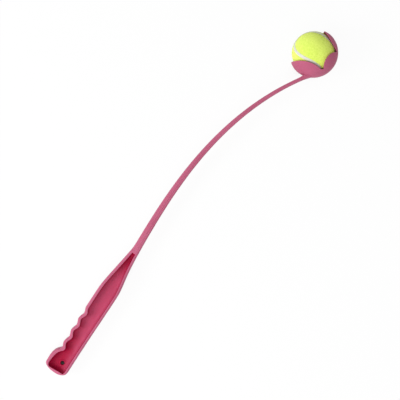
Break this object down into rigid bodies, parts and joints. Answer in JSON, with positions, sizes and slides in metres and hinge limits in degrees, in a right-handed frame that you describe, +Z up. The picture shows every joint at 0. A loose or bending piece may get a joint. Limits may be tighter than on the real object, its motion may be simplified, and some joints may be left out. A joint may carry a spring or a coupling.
{
  "type": "dog ball launcher",
  "caption": "Moulded plastic throwing wand for dogs with a finger-grooved cored grip, a springy bent shaft and a claw cup that holds a felt-covered tennis ball.",
  "frame": {"origin": "on the ground under the middle of the launcher as it lies on its side, resting on the ball and on the butt of the grip", "axes": "+X from the butt of the grip to the cup, +Y to the throwing side with the finger grooves and the cup's mouth, +Z up, nearly square to the swing plane"},
  "size_m": [0.6352, 0.1443, 0.065],
  "materials": {
    "wand_plastic": "satin moulded polypropylene, crimson pink",
    "core_rubber": "matt black rubber",
    "felt": "woven needled felt, optic yellow",
    "seam_rubber": "matt off-white vulcanised rubber"
  },
  "bodies": {
    "wand": {"wand": "wand_plastic"},
    "ball": {"ball_core_half_a": "core_rubber", "ball_core_half_b": "core_rubber", "ball_felt_panel_a": "felt", "ball_felt_panel_b": "felt", "ball_seam": "seam_rubber"}
  },
  "joints": [
    {"name": "ball_release", "type": "slide", "parent": "wand", "child": "ball", "axis": [0.2805, 0.9598, 0.0097], "range_m": [0, 0.1]}
  ]
}
